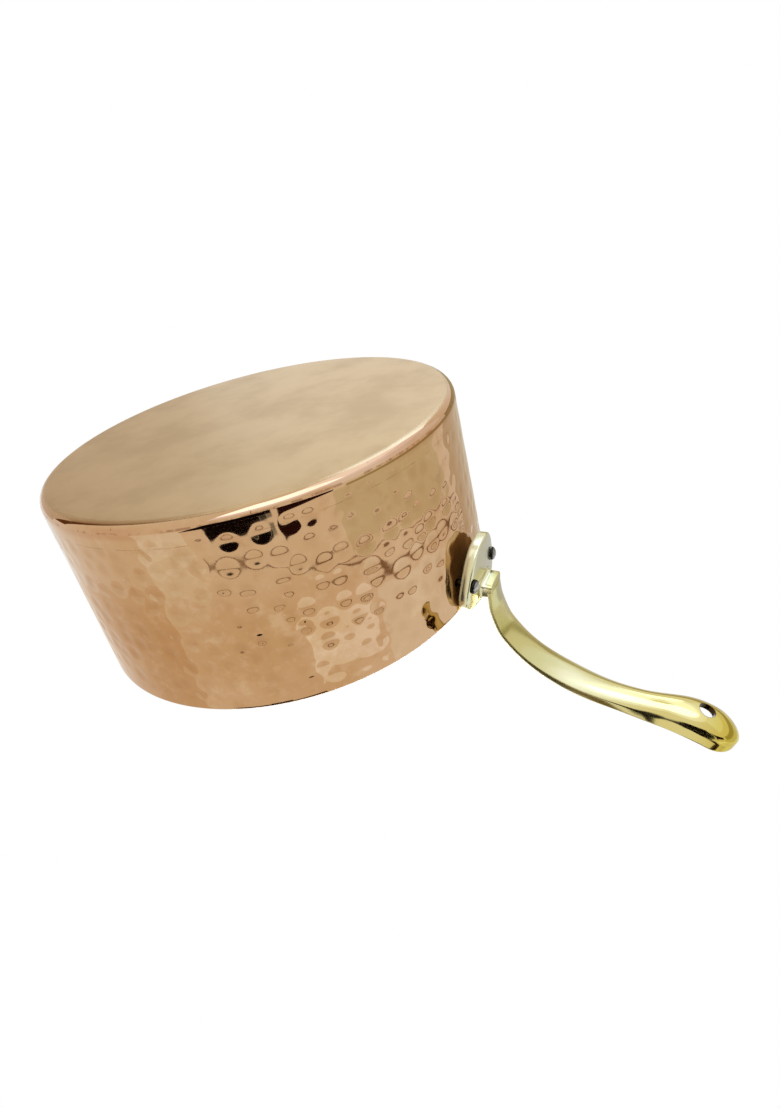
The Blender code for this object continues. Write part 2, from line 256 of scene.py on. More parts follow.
floor_mesh = bpy.data.meshes.new("floor")
corners = [(x * FLOOR_SIZE / 2, y * FLOOR_SIZE / 2, -FLOOR_DROP) for x, y in
           ((-1, -1), (1, -1), (1, 1), (-1, 1))]
floor_mesh.from_pydata(corners, [], [(0, 1, 2, 3)])
floor = add_object("floor", floor_mesh)
paper, wires, output = empty_material("pale_paper")
facing_away = wires.node("ShaderNodeNewGeometry", out="Backfacing")
white = wires.node("ShaderNodeBsdfDiffuse", {}, {"Color": rgb(216, 215, 212)})
clear = wires.node("ShaderNodeBsdfTransparent")
sheet = wires.node("ShaderNodeMixShader", {}, {"Fac": facing_away, 1: white, 2: clear})
wires.tree.links.new(sheet.socket, output.inputs["Surface"])
floor_mesh.materials.append(paper)
hide_from(floor, "diffuse", "glossy", "transmission", "shadow")
print("floor lies", FLOOR_DROP / mm, "mm under the base")

# %% Cards around the pan
CARD_DISTANCE = 1.5
CARD_STEPS = 24
NEAR_CARD_Y = 0.4


def lit_card(name, colour, points, faces):
    """A sheet that glows in one colour and that only reflections see."""
    mesh = bpy.data.meshes.new(name)
    mesh.from_pydata(points, [], faces)
    material, wires, output = empty_material(name)
    glow = wires.node("ShaderNodeEmission", {}, {"Color": colour})
    wires.tree.links.new(glow.socket, output.inputs["Surface"])
    mesh.materials.append(material)
    made = add_object(name, mesh)
    hide_from(made, "camera", "diffuse", "transmission", "volume_scatter", "shadow")


def card(name, colour, compass, height, end_height=None):
    """A bent strip between two compass directions and two heights, in degrees as the pan sees it.

    Where the heights at its second end are given too, the strip climbs or narrows on the way.
    """
    points = []
    for step in range(CARD_STEPS + 1):
        around = math.radians(compass[0] + (compass[1] - compass[0]) * step / CARD_STEPS)
        for start, end in zip(height, end_height or height):
            up = math.radians(start + (end - start) * step / CARD_STEPS)
            flat = CARD_DISTANCE * math.cos(up)
            points.append((flat * math.cos(around), flat * math.sin(around),
                           CARD_DISTANCE * math.sin(up)))
    faces = [(2 * i, 2 * i + 2, 2 * i + 3, 2 * i + 1) for i in range(CARD_STEPS)]
    lit_card(name, colour, points, faces)


def near_card(name, colour, left_right, height):
    """A flat card close to the pan, at NEAR_CARD_Y, so that only the handle's side shows it."""
    (left, right), (low, high) = left_right, height
    corners = ((left, low), (right, low), (right, high), (left, high))
    lit_card(name, colour, [(x, NEAR_CARD_Y, z) for x, z in corners], [(0, 1, 2, 3)])


# Name, colour, compass directions, heights, and the far end's heights if others
CARDS = [
    ("glint_card", rgb(150, 156, 158), (53, 55.4), (10.1, 20.5)),
    ("glint_card_dim", rgb(74, 82, 84), (55.5, 58.9), (10.1, 20.5)),
    ("dark_card_left", rgb(20, 14, 16), (59, 86), (10.1, 20.5)),
    ("dark_card_low", rgb(20, 14, 16), (53, 84), (-12, 10)),
    ("dark_card_end", rgb(20, 14, 16), (84, 97), (-12, 10), (9, 10)),
    ("dark_card_right", rgb(46, 24, 26), (22, 50), (5, 12), (-8, 22)),
    ("olive_card", rgb(236, 240, 226), (-50, 22), (15, 25)),
    ("root_card", rgb(190, 186, 150), (-61.9, 15), (3, 14.9)),
    ("far_side_card", rgb(186, 178, 142), (-104, -62), (-5, 14.9)),
    ("right_edge_card", rgb(222, 214, 196), (-110, -61), (15, 31.5)),
    ("plate_card", rgb(206, 207, 212), (-100, -52), (32, 50)),
    ("line_card", rgb(124, 84, 36), (-60, 0), (27.55, 28.05), (28.55, 29.05)),
    ("line_card_middle", rgb(124, 84, 36), (0, 92), (28.55, 29.05), (22.4, 22.8)),
    ("line_card_low", rgb(132, 92, 44), (-60, 40), (25.6, 25.9), (26.0, 26.3)),
    ("pink_card", (1.2, 1.35, 1.6, 1), (18, 56), (30.5, 36.5)),
    ("pale_card", (1.05, 1.15, 1.25, 1), (-51.9, 14), (29.5, 45)),
    ("left_card", (1.07, 1.18, 1.28, 1), (97.1, 121.9), (4, 22)),
    ("left_card_soft", (1.03, 1.08, 1.12, 1), (97.1, 121.9), (22.1, 28)),
    ("edge_card_low", rgb(250, 248, 244), (122, 201), (6, 24)),
    ("edge_card", rgb(244, 234, 221), (122, 201), (24.1, 45)),
    ("base_card", (1.08, 1.08, 1.08, 1), (-128, -104.5), (-45, 2)),
    ("back_card", rgb(176, 160, 140), (202, 262), (6, 22)),
    ("seam_card", rgb(112, 74, 44), (165, 175), (-75, -8)),
    ("low_card", rgb(184, 158, 134), (175.1, 212), (-56, -26.1)),
    ("low_card_wide", rgb(224, 212, 198), (175.1, 225), (-26, 2)),
    ("roll_card", (2.2, 2.8, 3.8, 1), (2, 88), (-80, -48)),
    ("roll_card_right", (1.9, 2.4, 3.3, 1), (-104, -66), (-66, -36)),
    ("floor_card", (1.25, 1.33, 1.8, 1), (-65.9, 88), (-47.9, -36)),
    ("floor_card_side", (1.5, 1.68, 2.2, 1), (-65.9, 1.9), (-80, -48)),
    ("floor_card_far", (1.1, 1.2, 1.45, 1), (-60, 20), (-35, -12)),
]
NEAR_CARDS = [
    ("handle_card_black", rgb(22, 18, 12), (-0.10, 0.05), (0.365, 0.75)),
    ("handle_card_strip", rgb(22, 18, 12), (0.05, 0.13), (0.335, 0.40)),
    ("handle_card_brown", rgb(112, 92, 52), (0.05, 0.28), (0.40, 0.72)),
]
for row in CARDS:
    card(*row)
for row in NEAR_CARDS:
    near_card(*row)
print(len(CARDS), "cards at", CARD_DISTANCE, "m and", len(NEAR_CARDS), "close to the handle")

# %% One soft lamp, for the shadow on the floor
LAMP_SIZE = 0.9
LAMP_POWER = 9.0
LAMP_PLACE = (-0.5, -0.7, 1.1)

lamp_light = bpy.data.lights.new("soft_lamp", "AREA")
lamp_light.shape = "DISK"
lamp_light.size = LAMP_SIZE
lamp_light.energy = LAMP_POWER
lamp = add_object("soft_lamp", lamp_light)
lamp.location = LAMP_PLACE
lamp.rotation_euler = (-lamp.location).to_track_quat("-Z", "Y").to_euler()
print("lamp of", LAMP_POWER, "W")

# %% [markdown]
# ## The copper pan
#
# A coppersmith turns a disc of sheet up into a pan, then planishes the wall: rows of light blows
# with a round hammer leave shallow bowls side by side. The plain solid is a turned shell. It could
# be roughened with bump alone, but each bowl is a small mirror and has to show at the pan's edge
# too, so the marks are real shape. A Screw modifier turns a fine profile, and a Geometry Nodes
# tree then presses the marks into its wall. The blows fell hardest at the wall's middle height, and
# none fell on the lip or the rounded corner.

# %% Sizes of the pan, as in the solids
RIM_RADIUS = 103.0 * mm
WALL_FLARE = 3.0 * mm
PAN_HEIGHT = 90.0 * mm
FOOT_FILLET = 5.0 * mm
COPPER_WALL = 1.8 * mm
LIP_ROUND = 0.5 * mm
SEAT_GAP = 0.3 * mm
FOOT_RADIUS = RIM_RADIUS - WALL_FLARE
WALL_TILT = math.atan2(WALL_FLARE, PAN_HEIGHT)


def wall_radius(height, inset=0.0):
    """Radius of the pan's wall at a height, on a skin that lies inset below its outside."""
    return FOOT_RADIUS + height * math.tan(WALL_TILT) - inset / math.cos(WALL_TILT)


def arc(centre_x, centre_z, radius, start, end, steps):
    """Points on an arc, with both ends; the angles are in radians."""
    points = []
    for index in range(steps + 1):
        angle = start + (end - start) * index / steps
        points.append((centre_x + radius * math.cos(angle), centre_z + radius * math.sin(angle)))
    return points


print("wall leans out", round(math.degrees(WALL_TILT), 2), "degrees")

# %% Profile of the shell, from the outside of the base round to the inside of the floor
PAN_STEPS = 780
WALL_ROWS = 94
CORNER_STEPS = 9
INNER_CORNER_STEPS = 3
LIP_STEPS = 4
BASE_SHARES = (0, 0.3, 0.6, 0.85)
SCREW_MERGE = 0.001 * mm


def skin_corner(inset, steps):
    """The rounded corner between base and wall, on a skin that lies inset below the outside."""
    centre_x = FOOT_RADIUS + FOOT_FILLET * (math.tan(WALL_TILT) - 1 / math.cos(WALL_TILT))
    return arc(centre_x, FOOT_FILLET, FOOT_FILLET - inset, -math.pi / 2, -WALL_TILT, steps)


def pan_profile():
    """The copper cut through on one side, with its rounded lip."""
    lip_z = PAN_HEIGHT - LIP_ROUND
    profile = [(share * FOOT_RADIUS, 0) for share in BASE_SHARES]
    profile += skin_corner(0, CORNER_STEPS)
    first = profile[-1][1]
    for row in range(1, WALL_ROWS):
        height = first + (lip_z - first) * row / WALL_ROWS
        profile.append((wall_radius(height), height))
    outer_lip = wall_radius(lip_z) - LIP_ROUND
    inner_lip = wall_radius(lip_z, COPPER_WALL) + LIP_ROUND
    profile += arc(outer_lip, lip_z, LIP_ROUND, 0, math.pi / 2, LIP_STEPS)
    profile += arc(inner_lip, lip_z, LIP_ROUND, math.pi / 2, math.pi, LIP_STEPS)
    profile += reversed(skin_corner(COPPER_WALL, INNER_CORNER_STEPS))
    profile.append((0, COPPER_WALL))
    return profile


def turned(name, profile, steps):
    """A solid of revolution about Z, from a profile that starts and ends on the axis."""
    mesh = bpy.data.meshes.new(name)
    edges = [(index, index + 1) for index in range(len(profile) - 1)]
    mesh.from_pydata([(x, 0, z) for x, z in profile], edges, [])
    made = add_object(name, mesh)
    screw = made.modifiers.new("turn", "SCREW")
    screw.steps = screw.render_steps = steps
    screw.use_merge_vertices = True
    screw.merge_threshold = SCREW_MERGE
    screw.use_normal_calculate = True
    return made


pan = turned("hammered_pan", pan_profile(), PAN_STEPS)
print("profile of", len(pan_profile()), "points turned in", PAN_STEPS, "steps")

# %% A geometry tree with named inputs
GEOMETRY = "NodeSocketGeometry"
NUMBER = "NodeSocketFloat"
WHOLE = "NodeSocketInt"
PLACE = "NodeSocketVector"
MATERIAL = "NodeSocketMaterial"
DOUBLES_MERGE = 0.002 * mm


def geometry_tree(name, inputs):
    """An empty tree with these (name, kind) inputs, as a wire from its input node."""
    tree = bpy.data.node_groups.new(name, "GeometryNodeTree")
    for label, kind in [("Geometry", GEOMETRY), *inputs]:
        tree.interface.new_socket(label, in_out="INPUT", socket_type=kind)
    tree.interface.new_socket("Geometry", in_out="OUTPUT", socket_type=GEOMETRY)
    return Wire(tree).node("NodeGroupInput")


def end_tree(shape, material):
    """Ends the tree in Realize Instances and Set Material."""
    whole = shape.node("GeometryNodeRealizeInstances", {}, {"Geometry": shape})
    painted = whole.node("GeometryNodeSetMaterial", {}, {"Geometry": whole, "Material": material})
    painted.node("NodeGroupOutput", {}, {"Geometry": painted})


def grow(made, tree, values):
    """Adds the tree as a modifier, and sets its inputs by their sockets' identifiers."""
    modifier = made.modifiers.new(tree.name, "NODES")
    modifier.node_group = tree
    for item in tree.interface.items_tree:
        if item.in_out == "INPUT" and item.name in values:
            modifier[item.identifier] = values[item.name]


def plain_mesh(made, smooth_angle=40):
    """Replaces an object's mesh by its evaluated shape and removes its modifiers."""
    bpy.context.view_layer.update()
    depsgraph = bpy.context.evaluated_depsgraph_get()
    mesh = bpy.data.meshes.new_from_object(made.evaluated_get(depsgraph))
    made.modifiers.clear()
    made.data = mesh
    shape = bmesh.new()
    shape.from_mesh(mesh)
    bmesh.ops.remove_doubles(shape, verts=shape.verts, dist=DOUBLES_MERGE)
    bmesh.ops.recalc_face_normals(shape, faces=shape.faces)
    shape.to_mesh(mesh)
    shape.free()
    mesh.transform(made.matrix_world)
    made.matrix_world = Matrix.Identity(4)
    mesh.shade_smooth()
    mesh.set_sharp_from_angle(angle=math.radians(smooth_angle))
    print(made.name, "has", sum(len(face.vertices) - 2 for face in mesh.polygons), "triangles")


print("geometry trees take named inputs")

# %% The hammer tree: where the blows fall
ROW_SHIFT = 0.47

marks = geometry_tree("hammer_marks", [
    ("Foot Radius", NUMBER), ("Wall Slope", NUMBER), ("Wall Thickness", NUMBER),
    ("First Row", NUMBER), ("Last Row", NUMBER), ("Rows", WHOLE), ("Marks Per Row", WHOLE),
    ("Mark Radius", NUMBER), ("Mark Depth", NUMBER), ("Scatter", NUMBER), ("Unevenness", NUMBER),
    ("Seed", WHOLE), ("Material", MATERIAL),
])
foot, slope = marks.out("Foot Radius"), marks.out("Wall Slope")
rows, per_row, seed = marks.out("Rows"), marks.out("Marks Per Row"), marks.out("Seed")
scatter = marks.out("Scatter")


def dice(draw, low, high, which=None):
    """A random number for each point, or for the point given; each draw has its own number."""
    values = {"Min": low, "Max": high, "Seed": seed + draw}
    if which is not None:
        values["ID"] = which
    return marks.node("FunctionNodeRandomValue", {"data_type": "FLOAT"}, values)


index = marks.node("GeometryNodeInputIndex")
row = (index / per_row).math("FLOOR")
column = index - row * per_row
row_pitch = (marks.out("Last Row") - marks.out("First Row")) / (rows - 1)
column_pitch = math.tau / per_row
nudged_column = column + row * ROW_SHIFT + dice(1, -0.5, 0.5) * scatter
mark_angle = nudged_column * column_pitch
mark_height = marks.out("First Row") + (row + dice(2, -0.5, 0.5) * scatter) * row_pitch
mark_reach = foot + mark_height * slope
mark_place = marks.node("ShaderNodeCombineXYZ", {}, {
    "X": mark_reach * mark_angle.math("COSINE"),
    "Y": mark_reach * mark_angle.math("SINE"),
    "Z": mark_height,
})
blows = marks.node("GeometryNodePoints", {}, {"Count": rows * per_row, "Position": mark_place})
print("the blows' places take", len(marks.tree.nodes), "nodes")

# %% The hammer tree: bowls pressed into the wall
MARKS_START = (5.5 * mm, 9.0 * mm)
MARKS_STOP = (88.0 * mm, 79.0 * mm)
DEEPER_START = (35.0 * mm, 60.0 * mm)
DEEPER_STOP = (71.0 * mm, 61.0 * mm)
DEEPER_BY = 0.55

here = marks.node("GeometryNodeInputPosition")
height = here.split().out("Z")
flat = here.vector("MULTIPLY", (1, 1, 0))
outward = flat.vector("NORMALIZE")
reach = flat.vector("LENGTH")
skin = foot + height * slope
outside = reach > (skin - marks.out("Wall Thickness") / 2)
nearest = marks.node("GeometryNodeProximity", {"target_element": "POINTS"}, {0: blows}, "Distance")
which = marks.node("GeometryNodeSampleNearest", {"domain": "POINT"}, {"Geometry": blows})
share = nearest / (marks.out("Mark Radius") * dice(3, 0.86, 1.14, which))
force = dice(4, 0.5, 1.15, which) * here.noise(16.0, 1.0).between(0.36, 0.52, 0.7, 1.0)
middle = height.between(*DEEPER_START) * height.between(*DEEPER_STOP)
force = force * (1 + middle * DEEPER_BY)
bowl = (1 - share * share).math("MAXIMUM", 0.0) ** 2
depth = marks.out("Mark Depth") * force * bowl
lumps = (here.noise(38.0, 1.0) - 0.5) * 2 * marks.out("Unevenness")
band = height.between(*MARKS_START) * height.between(*MARKS_STOP)
push = (lumps * band - depth * band) * outside
kept = marks.out("Geometry").store("mark_share", share)
kept = kept.store("mark_force", force * band * outside)
pressed = marks.node("GeometryNodeSetPosition", {}, {
    "Geometry": kept,
    "Offset": outward.vector("SCALE", push),
})
end_tree(pressed, marks.out("Material"))
print("tree", marks.tree.name, "has", len(marks.tree.nodes), "nodes")

# %% [markdown]
# ## Copper
#
# The base was rubbed down with fine abrasive and is satin. The wall was polished after hammering,
# so it mirrors its surroundings softly. Handling leaves warmer and paler clouds in the colour. One
# material serves both: where a point lies tells the base from the wall, so no picture has to be
# wrapped round the pan. The hammer tree stored how far each point lies from its mark and how hard
# the blow was, and that paints shade into the hollows: they are painted a shade darker. The line
# scribed round the wall is only painted, because the slopes of a real groove would break up the
# mirror image above it.

# %% A metal to build on
def metal(name):
    """A Principled metal, a wire with its points' places, and a helper that fills its sockets."""
    material, wires, output = empty_material(name)
    shader = wires.tree.nodes.new("ShaderNodeBsdfPrincipled")
    shader.inputs["Metallic"].default_value = 1.0
    wires.tree.links.new(shader.outputs["BSDF"], output.inputs["Surface"])

    def fill(**values):
        for label, value in values.items():
            socket = shader.inputs[label.replace("_", " ")]
            if isinstance(value, Wire):
                wires.tree.links.new(value.socket, socket)
            else:
                socket.default_value = value

    return material, wires.node("ShaderNodeTexCoord", out="Object"), fill


print("metals start from a Principled shader")

# %% Copper: colours of the wall
WALL_START = (0.1 * mm, 1.0 * mm)
PALER_BELOW = (50.0 * mm, 20.0 * mm)

copper, place, fill = metal("hammered_copper")
height = place.split().out("Z")
on_wall = height.between(*WALL_START)
clouds = place.noise(16.0, 3.0, 0.6)
blotches = place.noise(60.0, 4.0, 0.65)
wall_tint = clouds.between(0.36, 0.64).colour(rgb(199, 159, 118), rgb(189, 146, 99))
wall_tint = height.between(*PALER_BELOW, 0.0, 0.6).colour(wall_tint, rgb(200, 163, 122))
wall_tint = blotches.between(0.54, 0.7, 0.0, 0.6).colour(wall_tint, rgb(208, 172, 132))
wall_tint = blotches.between(0.46, 0.3, 0.0, 0.5).colour(wall_tint, rgb(180, 134, 88))

mark_share, mark_force = place.stored("mark_share"), place.stored("mark_force")
grain = place.noise(260.0, 3.0, 0.6)
wall_tint = grain.between(0.5, 0.7, 0.0, 0.35).colour(wall_tint, rgb(206, 166, 130))
# Painted shade: the hollows of the marks are painted darker, most where the blow was hard.
hollow = mark_share.between(1.0, 0.2) * mark_force
wall_tint = (hollow * 0.25).colour(wall_tint, rgb(170, 126, 82))
print("copper's wall:", len(place.tree.nodes), "nodes")

# %% Copper: colours of the base, and the lines and pits at its edge
SEAM = (3.2 * mm, 3.6 * mm, 0.4 * mm)
SCRIBED = (10.0 * mm, 10.1 * mm, 0.25 * mm)
REDDISH = (2.5 * mm, 5.0 * mm, 2.0 * mm)
PITS_START = (0.2 * mm, 1.2 * mm)
PITS_STOP = (6.0 * mm, 4.0 * mm)


def thin_band(value, low, high, soft):
    """One where the value lies between low and high, with soft edges this wide."""
    return value.between(low - soft, low) * value.between(high + soft, high)


smudges = place.noise(24.0, 4.0, 0.6)
streaks = place.vector("MULTIPLY", (4, 60, 1)).noise(3.0, 3.0, 0.6)
base_tint = smudges.between(0.38, 0.66).colour(rgb(204, 177, 134), rgb(190, 162, 119))
base_tint = streaks.between(0.5, 0.75, 0.0, 0.25).colour(base_tint, rgb(206, 180, 138))
tint = on_wall.colour(base_tint, wall_tint)
wear = place.noise(160.0, 3.0, 0.7)
seam = thin_band(height, *SEAM) * wear.between(0.46, 0.6) * 0.6
scribe = thin_band(height, *SCRIBED) * wear.between(0.4, 0.6) * 0.35
tint = (seam + scribe).colour(tint, rgb(128, 78, 50))
reddish = thin_band(height, *REDDISH) * clouds.between(0.4, 0.6)
tint = (reddish * 0.35).colour(tint, rgb(180, 122, 84))
pits = place.noise(620.0, 2.0, 0.6).between(0.68, 0.72) * wear.between(0.45, 0.6)
pits = pits * height.between(*PITS_STOP) * height.between(*PITS_START)
tint = (pits * 0.75).colour(tint, rgb(104, 66, 44))
print("copper's base:", len(place.tree.nodes), "nodes")

# %% Copper: satin base, bright wall with faint waves, and pits 0.02 mm deep
BASE_ROUGH = 0.36
WALL_SMOOTHER = 0.315

rough = BASE_ROUGH - on_wall * WALL_SMOOTHER + (smudges - 0.5) * 0.06
waves = place.noise(140.0, 2.0, 0.5) * 0.008 * mm
surface = waves * on_wall - pits * 0.02 * mm
fill(Base_Color=tint, Roughness=rough, Normal=surface.bump(1.0, 1.0))
print("copper:", len(place.tree.nodes), "nodes")

# %% Press the marks and stand the piece in for its solid
grow(pan, marks.tree, {
    "Foot Radius": FOOT_RADIUS,
    "Wall Slope": math.tan(WALL_TILT),
    "Wall Thickness": COPPER_WALL,
    "First Row": 12.0 * mm,
    "Last Row": 84.0 * mm,
    "Rows": 9,
    "Marks Per Row": 66,
    "Mark Radius": 4.6 * mm,
    "Mark Depth": 0.2 * mm,
    "Scatter": 0.6,
    "Unevenness": 0.18 * mm,
    "Seed": 7,
    "Material": copper,
})
plain_mesh(pan)
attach(pan, "root")
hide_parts("pan_body")

# %% [markdown]
# ## The steel lining
#
# Copper reacts with food, so such pans are lined. The solid of the lining has the right shape, a
# plain shell, so it stays and only gets a finish: steel brushed round and round with fine rings.
# The rings follow the distance from the pan's axis on the floor and the height on the wall.

# %% Brushed steel
lining_steel, place, fill = metal("lining_steel")
reach = place.vector("MULTIPLY", (1, 1, 0)).vector("LENGTH")
across_rings = reach + place.split().out("Z")
thin = place.node("ShaderNodeCombineXYZ", {}, {"X": across_rings})
rings = thin.noise(2600.0, 3.0, 0.7)
broad = thin.noise(240.0, 2.0, 0.6)
patches = place.noise(22.0, 3.0, 0.6)
steel_tint = patches.between(0.35, 0.7).colour(rgb(204, 202, 198), rgb(190, 187, 181))
bump = (rings + broad * 0.5).bump(0.25, 0.05 * mm)
rough = 0.3 + (rings - 0.5) * 0.12 + (patches - 0.5) * 0.1
fill(Base_Color=steel_tint, Roughness=rough, Normal=bump)
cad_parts["steel_lining"].material_slots[0].material = lining_steel
print("lining:", len(place.tree.nodes), "nodes")

# %% [markdown]
# ## The brass handle
#
# The handle is one casting: a plate that lies against the wall, a short neck, and a grip that
# sweeps out and up. Castings have no sharp edges, because the polishing wheel takes them off. The
# grip is lofted: a rounded section is set at many stations along a curved line and the rings are
# joined. The same tables of shares as in the solid give the line and the section.

# %% The grip's line and tables
PLATE_HALF_WIDTH = 17.2 * mm
PLATE_LENGTH = 31.1 * mm
PLATE_RISE = 1.5 * mm
PLATE_THICKNESS = 4.8 * mm
PLATE_LEAN = math.radians(8.2) - WALL_TILT
PLATE_SQUARENESS = 3.2
PLATE_SPREAD_SHARE = 0.37
NECK_DROP = 4.1 * mm
NECK_REACH = 5.8 * mm
NECK_HALF_WIDTH = 7.4 * mm
NECK_HALF_HEIGHT = 4.0 * mm
GRIP_REACH = 107.8 * mm
GRIP_RISE = 74.8 * mm
GRIP_HALF_WIDTH = 9.0 * mm
GRIP_EDGE_HEIGHT = 3.8 * mm
GRIP_CROWN = 3.0 * mm
GRIP_WALL = 3.0 * mm
GRIP_LAND = 1.4 * mm
GRIP_ROOT_SWELL = 1.2 * mm
TIP_LENGTH = 13.7 * mm
HANG_HOLE_RADIUS = 3.8 * mm
HANG_HOLE_FROM_TIP = 19.0 * mm
EDGE_ROUND = 0.7 * mm
LINE_STEPS = 144
SEAT_RADIUS = wall_radius(PAN_HEIGHT) + SEAT_GAP

# Along the grip from 0, its root, to 1, its tip: shares of the sizes above
EDGE_OUT_SHARES = [(0.0, 0.0), (0.08, 0.005), (0.17, 0.043), (0.33, 0.172), (0.50, 0.380),
                   (0.67, 0.612), (0.83, 0.826), (1.0, 1.0)]
EDGE_UP_SHARES = [(0.0, -0.042), (0.08, 0.114), (0.17, 0.295), (0.33, 0.518), (0.50, 0.695),
                  (0.67, 0.798), (0.83, 0.855), (1.0, 1.0)]
WIDTH_SHARES = [(0.0, 0.84), (0.15, 0.95), (0.30, 0.946), (0.45, 0.93), (0.60, 0.80),
                (0.72, 0.866), (0.84, 1.108), (1.0, 1.087)]
CROWN_SHARES = [(0.0, 0.33), (0.3, 0.69), (0.6, 1.33), (0.8, 2.33), (1.0, 1.89)]
EDGE_SHARES = [(0.0, 0.54), (0.25, 0.55), (0.5, 0.98), (0.75, 0.86), (1.0, 0.78)]
SPREAD_SHARES = [(0.0, 0.0), (0.5, 0.0), (0.65, 0.3), (0.8, 0.9), (1.0, 1.0)]
HOLLOW_SHARES = [(0.0, 0.0), (0.15, 0.0), (0.30, 0.35), (0.50, 0.9), (0.65, 1.0), (0.85, 1.0),
                 (1.0, 1.0)]
BELLY_SHARES = [(0.0, 2.0), (0.55, 2.0), (0.75, 1.5), (0.9, 1.1), (1.0, 1.0)]


def blend(table, share):
    """A smooth value between the (share, value) pairs of a given table."""
    shares = [pair[0] for pair in table]
    values = [pair[1] for pair in table]
    last = len(table) - 1
    slot = min(max(sum(1 for mark in shares if mark <= share) - 1, 0), last - 1)
    before, after = max(slot - 1, 0), min(slot + 2, last)
    width = shares[slot + 1] - shares[slot]
    rise_in = (values[slot + 1] - values[before]) / (shares[slot + 1] - shares[before])
    rise_out = (values[after] - values[slot]) / (shares[after] - shares[slot])
    along = (share - shares[slot]) / width
    return (
        values[slot] * (2 * along**3 - 3 * along**2 + 1)
        + values[slot + 1] * (3 * along**2 - 2 * along**3)
        + rise_in * width * (along**3 - 2 * along**2 + along)
        + rise_out * width * (along**3 - along**2)
    )


def plate_place():
    """Matrix from the plate's own axes to the pan: x across, y up the plate, z outwards."""
    across = Vector((0, 1, 0))
    upward = Vector((-math.sin(PLATE_LEAN), 0, math.cos(PLATE_LEAN)))
    turn = Matrix((across, upward, across.cross(upward))).transposed().to_4x4()
    return Matrix.Translation((SEAT_RADIUS, 0, PAN_HEIGHT)) @ turn


def bent(across, up, out):
    """A point given on the flat plate, after the plate is bent round the wall."""
    angle = across / SEAT_RADIUS
    reach = SEAT_RADIUS + out
    return Vector((reach * math.sin(angle), up, reach * math.cos(angle) - SEAT_RADIUS))


def edge_point(share):
    """The grip's edge line, in the pan's XZ plane."""
    front = plate_place() @ Vector((0, 0, PLATE_THICKNESS + NECK_REACH))
    return Vector((
        front.x + GRIP_REACH * blend(EDGE_OUT_SHARES, share),
        PAN_HEIGHT + GRIP_RISE * blend(EDGE_UP_SHARES, share),
    ))


def edge_runs():
    """Shares along the edge line, each with the length that is left from there to the tip."""
    points = [edge_point(index / LINE_STEPS) for index in range(LINE_STEPS + 1)]
    left = 0.0
    runs = [(1.0, left)]
    for index in range(LINE_STEPS, 0, -1):
        left += (points[index] - points[index - 1]).length
        runs.append(((index - 1) / LINE_STEPS, left))
    return runs


def share_before_tip(runs, distance):
    """The share at which this much of the edge line is left."""
    for (high, short), (low, far) in zip(runs, runs[1:]):
        if far >= distance:
            return high + (low - high) * (distance - short) / (far - short)
    return 0.0


def grip_frame(share):
    """A point of the edge line, and the direction up out of the grip's top there."""
    low, high = max(share - 1 / LINE_STEPS, 0), min(share + 1 / LINE_STEPS, 1)
    along = (edge_point(high) - edge_point(low)).normalized()
    return edge_point(share), Vector((-along.y, along.x))


print("grip line is", round(edge_runs()[-1][1] / mm, 1), "mm long")

# %% The grip's rings
BELLY_POINTS = 24
ROUND_POINTS = 5
GRIP_STATIONS = 110
TIP_STATIONS = 26
TIP_SWEEP = math.radians(88)
MOST_OF_SIDE = 0.45


def rounded(corner, before, after, radius):
    """Points that turn a corner softly, on the way from the point before to the one after."""
    shorter = min((before - corner).length, (after - corner).length)
    radius = min(radius, shorter * MOST_OF_SIDE)
    start = corner + (before - corner).normalized() * radius
    end = corner + (after - corner).normalized() * radius
    points = []
    for step in range(ROUND_POINTS):
        share = step / (ROUND_POINTS - 1)
        points.append(start * (1 - share) ** 2 + corner * 2 * share * (1 - share) + end * share**2)
    return points


def grip_section(share, left):
    """A ring of points: the crowned underside, the sides that spread, and the hollowed top."""
    origin, up = grip_frame(share)
    beyond = max(1 - left / TIP_LENGTH, 0)
    tip = math.sqrt(max(1 - beyond**2, 0))
    before_end = max(left - GRIP_LAND, 0) / (TIP_LENGTH - GRIP_LAND)
    hollow_end = math.sqrt(1 - max(1 - before_end, 0) ** 2)
    full = GRIP_HALF_WIDTH * blend(WIDTH_SHARES, share)
    half = full * tip
    crown = GRIP_CROWN * blend(CROWN_SHARES, share) * tip
    edge = GRIP_EDGE_HEIGHT * blend(EDGE_SHARES, share) * (0.5 + 0.5 * tip)
    spread = blend(SPREAD_SHARES, share)
    wide = half + edge * spread * tip
    hollow = blend(HOLLOW_SHARES, share)
    depth = max(crown + edge - GRIP_WALL, 0) * hollow_end
    rise = GRIP_ROOT_SWELL * (1 - hollow) - depth * hollow
    hollow_half = max((full + edge * spread - GRIP_LAND) * hollow_end, half / 5)
    belly = blend(BELLY_SHARES, share)
    radius = EDGE_ROUND * (0.2 + 0.8 * tip)
    first = math.acos(1 - min(radius / half, 0.3))
    under, top = [], []
    for index in range(BELLY_POINTS + 1):
        angle = first + (math.pi - 2 * first) * index / BELLY_POINTS
        under.append(Vector((-half * math.cos(angle), -crown * math.sin(angle) ** belly)))
        angle = math.pi * index / BELLY_POINTS
        lift = abs(math.sin(angle)) ** (1 + max(spread, 0))
        top.append(Vector((hollow_half * math.cos(angle), edge + rise * lift)))
    right_low, right_high = Vector((half, 0)), Vector((wide, edge))
    left_high, left_low = Vector((-wide, edge)), Vector((-half, 0))
    outline = under + rounded(right_low, under[-1], right_high, radius)
    outline += rounded(right_high, right_low, top[0], radius)
    outline += top
    outline += rounded(left_high, top[-1], left_low, radius)
    outline += rounded(left_low, left_high, under[0], radius)
    return [
        Vector((origin.x + up.x * height, across, origin.y + up.y * height))
        for across, height in outline
    ]


